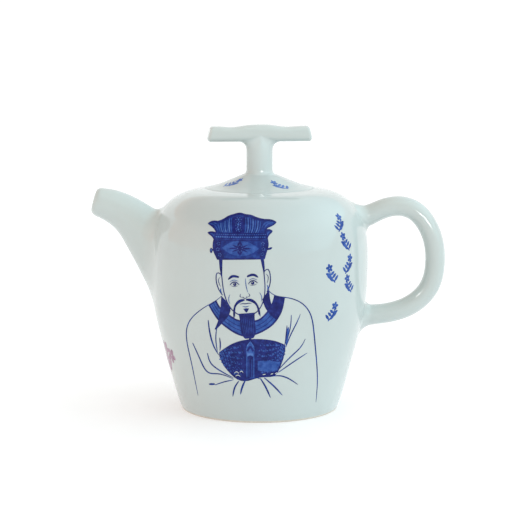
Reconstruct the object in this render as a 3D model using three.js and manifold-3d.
// A small slip-cast porcelain teapot: pot body with foot ring and lid gallery, pierced dome strainer,
// spout, loop handle, and a drop-in lid with locating collar and a bow-shaped bar knob on a stem.
// Millimetres, +Z up. The spout points along -X and the handle along +X.
import * as THREE from "three";
import { mergeVertices } from "three/addons/utils/BufferGeometryUtils.js";
import Module from "manifold-3d";

// ---- driving dimensions -------------------------------------------------------------------------
const WALL = 3.3; // pot wall
const LUTE_GAP = 0.3; // room left at every luted or resting joint
const POT_SEGMENTS = 36;

const FOOT_INNER_R = 30.8;
const FOOT_OUTER_R = 35.1;
const FOOT_RECESS = 1.8; // the base inside the foot ring stands this high
const FLOOR_Z = 5.0; // inside floor

const GALLERY_R = 25.2; // pocket that the lid drops into
const LAND_Z = 102.2; // flat seat at the bottom of that pocket
const MOUTH_R = 21.2;

const LID_R = 24.7;
const LID_SEAT_Z = LAND_Z + LUTE_GAP;
const LID_TURN_DEG = 6; // how far the bar knob is turned from the spout line
const COLLAR_OUTER_R = 20.6;
const COLLAR_INNER_R = 17.8;
const COLLAR_DEPTH = 7.2;
const VENT_R = 1.3;
const VENT_FROM_AXIS = 13.5;
const VENT_TURN_DEG = 115;

const STEM_R = 6.2;
const STEM_FOOT_Z = 111.5;
const BAR_BOTTOM_Z = 125.7;
const BAR_HALF_LENGTH = 24.4;
const BAR_HALF_DEPTH = 5.6;

const SPOUT_HOLE_Z = 73;
const SPOUT_HOLE_R = 9.5;
const STRAINER_R = 13.2; // outside of the dome
const STRAINER_WALL = 2.2;
const STRAINER_HOLE_R = 1.3;

const SPOUT_WALL = 2.5;
const HANDLE_HALF_HEIGHT = 4.8;
const HANDLE_HALF_WIDTH = 5.1; // along Y

// Outside of the pot from the foot to the rim of the lid pocket, as radius and height.
const POT_OUTSIDE = [
  [36.8, 0.9], [37.7, 2.8], [42.3, 18.5], [46.3, 33.5], [49.6, 48.5], [50.9, 66],
  [50.2, 82.5], [46.4, 93.2], [40.6, 99.2], [34, 102.5], [26.8, 103.8],
];

// ---- small geometry helpers ---------------------------------------------------------------------
const wasm = await Module();
wasm.setup();

const vec = (x, y, z) => new THREE.Vector3(x, y, z);
const radians = THREE.MathUtils.degToRad;
const mix = THREE.MathUtils.lerp;

// A smooth curve through points given as [x, z], drawn in the XZ plane.
function smooth(points) {
  return new THREE.CatmullRomCurve3(points.map(([x, z]) => vec(x, 0, z)), false, "centripetal");
}

function sampled(points, count) {
  return smooth(points).getSpacedPoints(count).map((p) => [p.x, p.z]);
}

// A closed mesh as a solid that can be cut and joined.
function solid(geometry) {
  const bare = new THREE.BufferGeometry();
  const flat = geometry.index ? geometry.toNonIndexed() : geometry;
  bare.setAttribute("position", flat.getAttribute("position"));
  const merged = mergeVertices(bare, 1e-4);
  const kept = [];
  for (let i = 0; i < merged.index.count; i += 3) {
    const [a, b, c] = [0, 1, 2].map((k) => merged.index.getX(i + k));
    if (a !== b && b !== c && c !== a) kept.push(a, b, c);
  }
  const vertProperties = merged.attributes.position.array;
  const made = new wasm.Manifold(new wasm.Mesh({
    numProp: 3, vertProperties, triVerts: new Uint32Array(kept),
  }));
  if (made.volume() > 0) return made;
  for (let i = 0; i < kept.length; i += 3) [kept[i + 1], kept[i + 2]] = [kept[i + 2], kept[i + 1]];
  return new wasm.Manifold(new wasm.Mesh({
    numProp: 3, vertProperties, triVerts: new Uint32Array(kept),
  }));
}

function geometryOf(manifold) {
  const { vertProperties, triVerts } = manifold.getMesh();
  const geometry = new THREE.BufferGeometry();
  geometry.setAttribute("position", new THREE.BufferAttribute(new Float32Array(vertProperties), 3));
  geometry.setIndex([...triVerts]);
  geometry.computeVertexNormals();
  return geometry;
}

// A profile of [radius, height] turned about +Z.
function turned(profile, segments = POT_SEGMENTS) {
  const points = profile.map(([r, z]) => new THREE.Vector2(r, z));
  return solid(new THREE.LatheGeometry(points, segments).rotateX(Math.PI / 2));
}

// A closed body through rings that all hold the same number of points.
function loft(rings) {
  const sides = rings[0].length;
  const points = rings.flat();
  const faces = [];
  for (let i = 0; i + 1 < rings.length; i++) {
    for (let k = 0; k < sides; k++) {
      const a = i * sides + k;
      const b = i * sides + ((k + 1) % sides);
      faces.push(a, b, b + sides, a, b + sides, a + sides);
    }
  }
  for (const [ring, first, turn] of [[rings[0], 0, 1], [rings.at(-1), points.length - sides, -1]]) {
    const centre = points.length;
    points.push(ring.reduce((sum, p) => sum.add(p), vec(0, 0, 0)).divideScalar(sides));
    for (let k = 0; k < sides; k++) {
      const [a, b] = [first + k, first + ((k + 1) % sides)];
      faces.push(...(turn > 0 ? [centre, b, a] : [centre, a, b]));
    }
  }
  const geometry = new THREE.BufferGeometry().setFromPoints(points);
  geometry.setIndex(faces);
  return solid(geometry);
}

// An oval ring about centre: half its height along up, and half its width along Y.
function ovalRing(centre, up, halfHeight, halfWidth, sides, squareness = 2) {
  return Array.from({ length: sides }, (_, k) => {
    const angle = (2 * Math.PI * k) / sides;
    const push = (v) => Math.sign(v) * Math.abs(v) ** (2 / squareness);
    return centre.clone()
      .addScaledVector(up, halfHeight * push(Math.cos(angle)))
      .add(vec(0, halfWidth * push(Math.sin(angle)), 0));
  });
}

// A round bar between two points.
function rod(from, to, radius, sides) {
  const along = to.clone().sub(from);
  const geometry = new THREE.CylinderGeometry(radius, radius, along.length(), sides);
  geometry.applyQuaternion(new THREE.Quaternion().setFromUnitVectors(vec(0, 1, 0), along.normalize()));
  const middle = from.clone().add(to).multiplyScalar(0.5);
  return solid(geometry.translate(middle.x, middle.y, middle.z));
}

// Moves each point of an open profile sideways: inwards, towards the axis, for a positive distance.
function offset(profile, distance) {
  return profile.map(([r, z], i) => {
    const [r0, z0] = profile[Math.max(i - 1, 0)];
    const [r1, z1] = profile[Math.min(i + 1, profile.length - 1)];
    const length = Math.hypot(r1 - r0, z1 - z0);
    return [r - (distance * (z1 - z0)) / length, z + (distance * (r1 - r0)) / length];
  });
}

// ---- pot body -----------------------------------------------------------------------------------
const potOutside = sampled(POT_OUTSIDE, 15);

// The pot's outside as a filled body, standing off it by a gap: what is luted on is cut back to it.
function potEnvelope(gap) {
  const skin = offset(potOutside, -gap);
  return turned([[0, -gap], [FOOT_OUTER_R, -gap], ...skin, [0, skin.at(-1)[1]]]);
}

// The space inside the pot, drawn in from its wall by a gap.
function potInsideProfile(gap) {
  const skin = offset(potOutside, WALL + gap).filter(([, z]) => z > FLOOR_Z + 5);
  return skin;
}

function makePotBody() {
  const inside = potInsideProfile(0).reverse();
  const profile = [
    [0, FOOT_RECESS], [FOOT_INNER_R - 2.6, FOOT_RECESS], [FOOT_INNER_R - 0.8, 1.3],
    [FOOT_INNER_R, 0], [FOOT_OUTER_R, 0],
    ...potOutside,
    [GALLERY_R + 0.5, 103.7], [GALLERY_R, 103.1], [GALLERY_R, LAND_Z],
    [MOUTH_R + 0.4, LAND_Z], [MOUTH_R, LAND_Z - 0.5], [MOUTH_R, 100],
    [MOUTH_R + 0.7, 99.2], [GALLERY_R - 1.6, 99.2],
    ...inside,
    [33.6, 8.2], [30.5, 6.0], [26, FLOOR_Z], [0, FLOOR_Z],
  ];
  const hole = rod(vec(-60, 0, SPOUT_HOLE_Z), vec(-30, 0, SPOUT_HOLE_Z), SPOUT_HOLE_R, 24);
  return turned(profile).subtract(hole);
}

// ---- strainer: a pierced dome luted over the spout hole, on the inside --------------------------
function makeStrainer() {
  const seat = vec(-(50.9 - WALL), 0, SPOUT_HOLE_Z);
  const dome = (radius) => solid(new THREE.SphereGeometry(radius, 20, 12))
    .translate([seat.x, seat.y, seat.z]);
  const inside = potInsideProfile(LUTE_GAP);
  const room = turned([[0, inside[0][1]], ...inside, [0, inside.at(-1)[1]]]);
  let shell = dome(STRAINER_R).subtract(dome(STRAINER_R - STRAINER_WALL)).intersect(room);
  for (const [count, tilt] of [[1, 0], [6, 27], [11, 52]]) {
    for (let k = 0; k < count; k++) {
      const turn = (2 * Math.PI * k) / count;
      const out = vec(
        Math.cos(radians(tilt)),
        Math.sin(radians(tilt)) * Math.cos(turn),
        Math.sin(radians(tilt)) * Math.sin(turn),
      );
      const far = seat.clone().addScaledVector(out, STRAINER_R + 2);
      shell = shell.subtract(rod(seat, far, STRAINER_HOLE_R, 6));
    }
  }
  return shell;
}

// ---- spout: oval rings hung between an upper and a lower edge line -------------------------------
const SPOUT_TOP = [
  [-41, 91.2], [-47.4, 93.4], [-53.5, 96.9], [-60, 100.4], [-67.6, 103.1], [-75.9, 104],
];
const SPOUT_UNDER = [
  [-41, 47], [-48.6, 51.5], [-56.3, 65.3], [-62.2, 76.6], [-68.2, 85.6], [-79.2, 92],
];

function spoutBody(inset, stretch, rings, sides) {
  const [top, under] = [smooth(SPOUT_TOP), smooth(SPOUT_UNDER)];
  return loft(Array.from({ length: rings }, (_, i) => {
    const t = i / (rings - 1);
    const [high, low] = [top.getPoint(t), under.getPoint(t)];
    const up = high.clone().sub(low);
    const halfHeight = up.length() / 2 - inset;
    up.normalize();
    const out = vec(-up.z, 0, up.x);
    const shift = stretch * (2 * t - 1);
    const centre = high.add(low).multiplyScalar(0.5).addScaledVector(out, shift);
    const halfWidth = mix(14.5, 6.2, Math.min(1, 1.25 * t) ** 0.8) - inset;
    return ovalRing(centre, up, halfHeight, halfWidth, sides);
  }));
}

function makeSpout() {
  const bored = spoutBody(0, 0, 15, 20).subtract(spoutBody(SPOUT_WALL, 0.8, 13, 16));
  return bored.subtract(potEnvelope(LUTE_GAP));
}

// ---- handle: an oval bar along a loop, thicker where it meets the pot ---------------------------
const HANDLE_LINE = [
  [44, 89.6], [51, 91.6], [58, 94.9], [65.8, 96.1], [73.8, 92.8], [80.4, 82.4], [82.2, 70.3],
  [79.9, 57.6], [72.3, 48.8], [62, 44.7], [51.5, 43.4], [44, 43],
];

function makeHandle() {
  const line = smooth(HANDLE_LINE);
  const rings = 27;
  const bar = loft(Array.from({ length: rings }, (_, i) => {
    const t = i / (rings - 1);
    const ahead = line.getTangentAt(t);
    const up = vec(-ahead.z, 0, ahead.x);
    const flare = Math.max(0, Math.abs(2 * t - 1) - 0.72) / 0.28;
    const [height, width] = [HANDLE_HALF_HEIGHT + 2.2 * flare ** 2, HANDLE_HALF_WIDTH + 1.6 * flare ** 2];
    return ovalRing(line.getPointAt(t), up, height, width, 16);
  }));
  return bar.subtract(potEnvelope(LUTE_GAP));
}

// ---- lid ----------------------------------------------------------------------------------------
const LID_ROOF = [
  [24.2, 104.6], [20.5, 105.8], [15.5, 107.5], [11.5, 109], [8.6, 110.6], [7.6, STEM_FOOT_Z],
];

function makeLidShell() {
  const roof = sampled(LID_ROOF, 7);
  const profile = [
    [0, 107.9], [9, 106.6], [14, 104.9], [17.2, 103.5], [18, LID_SEAT_Z],
    [LID_R, LID_SEAT_Z], [LID_R, 103.9], ...roof, [0, STEM_FOOT_Z],
  ];
  const turn = radians(VENT_TURN_DEG);
  const [x, y] = [VENT_FROM_AXIS * Math.cos(turn), VENT_FROM_AXIS * Math.sin(turn)];
  return turned(profile).subtract(rod(vec(x, y, 98), vec(x, y, 114), VENT_R, 12));
}

function makeLidCollar() {
  const top = LID_SEAT_Z - LUTE_GAP;
  const bottom = top - COLLAR_DEPTH;
  return turned([
    [COLLAR_INNER_R, top], [COLLAR_INNER_R, bottom + 0.6], [COLLAR_INNER_R + 0.5, bottom],
    [COLLAR_OUTER_R - 0.7, bottom], [COLLAR_OUTER_R, bottom + 0.9], [COLLAR_OUTER_R, top],
    [COLLAR_INNER_R, top],
  ]);
}

// Height of the bar's upper side: a swell in the middle and slightly raised tips, as on a bow.
function barTop(x) {
  const swell = 1.7 * Math.exp(-((x / 9) ** 4));
  const tip = 0.9 * THREE.MathUtils.smoothstep(Math.abs(x), 13, 20);
  return 132.1 + swell + tip;
}

function barBody(gap) {
  const stations = [-1, -0.975, -0.92, -0.8, -0.62, -0.46, -0.36, -0.26, -0.12];
  const places = [...stations, 0, ...stations.map((s) => -s).reverse()];
  return loft(places.map((s) => {
    const x = s * (BAR_HALF_LENGTH + gap);
    const past = Math.max(0, (Math.abs(s) - 0.86) / 0.14);
    const top = barTop(x) - 4.2 * past ** 2 + gap;
    const bottom = BAR_BOTTOM_Z + 0.4 * past ** 2 - gap;
    const halfDepth = BAR_HALF_DEPTH - 1.4 * past ** 2 + gap;
    return ovalRing(vec(x, 0, (top + bottom) / 2), vec(0, 0, 1), (top - bottom) / 2, halfDepth, 18, 2.6);
  }));
}

function makeKnobStem() {
  const foot = STEM_FOOT_Z + LUTE_GAP;
  const profile = [
    [0, foot], [7.5, foot], [6.6, foot + 0.9], [STEM_R, foot + 2.6], [STEM_R, 121.5],
    [STEM_R + 0.4, 123.6], [STEM_R + 1.5, 125.2], [STEM_R + 2.6, 126.4], [0, 127.4],
  ];
  return turned(profile, 24).subtract(barBody(LUTE_GAP));
}

// ---- assembly -----------------------------------------------------------------------------------
const glaze = new THREE.MeshStandardMaterial({ color: 0xd3e1de, roughness: 0.12, metalness: 0 });
const shadedGlaze = new THREE.MeshStandardMaterial({ color: 0xcfdcd8, roughness: 0.18, metalness: 0 });

function piece(name, shape, material = glaze) {
  const mesh = new THREE.Mesh(geometryOf(shape), material);
  mesh.name = name;
  return mesh;
}

const pot = new THREE.Group();
pot.add(
  piece("pot_body", makePotBody()),
  piece("spout_strainer", makeStrainer(), shadedGlaze),
  piece("spout", makeSpout()),
  piece("handle", makeHandle()),
);

const lid = new THREE.Group();
lid.rotation.z = radians(LID_TURN_DEG);
lid.add(
  piece("lid_shell", makeLidShell()),
  piece("lid_collar", makeLidCollar(), shadedGlaze),
  piece("knob_stem", makeKnobStem()),
  piece("knob_bow", barBody(0)),
);

const teapot = new THREE.Group();
teapot.add(pot, lid);

// The part's origin is under the middle of the whole, so the pot's own axis lies a little to one side.
const reach = new THREE.Box3().setFromObject(teapot);
teapot.position.x = -(reach.min.x + reach.max.x) / 2;

export default teapot;
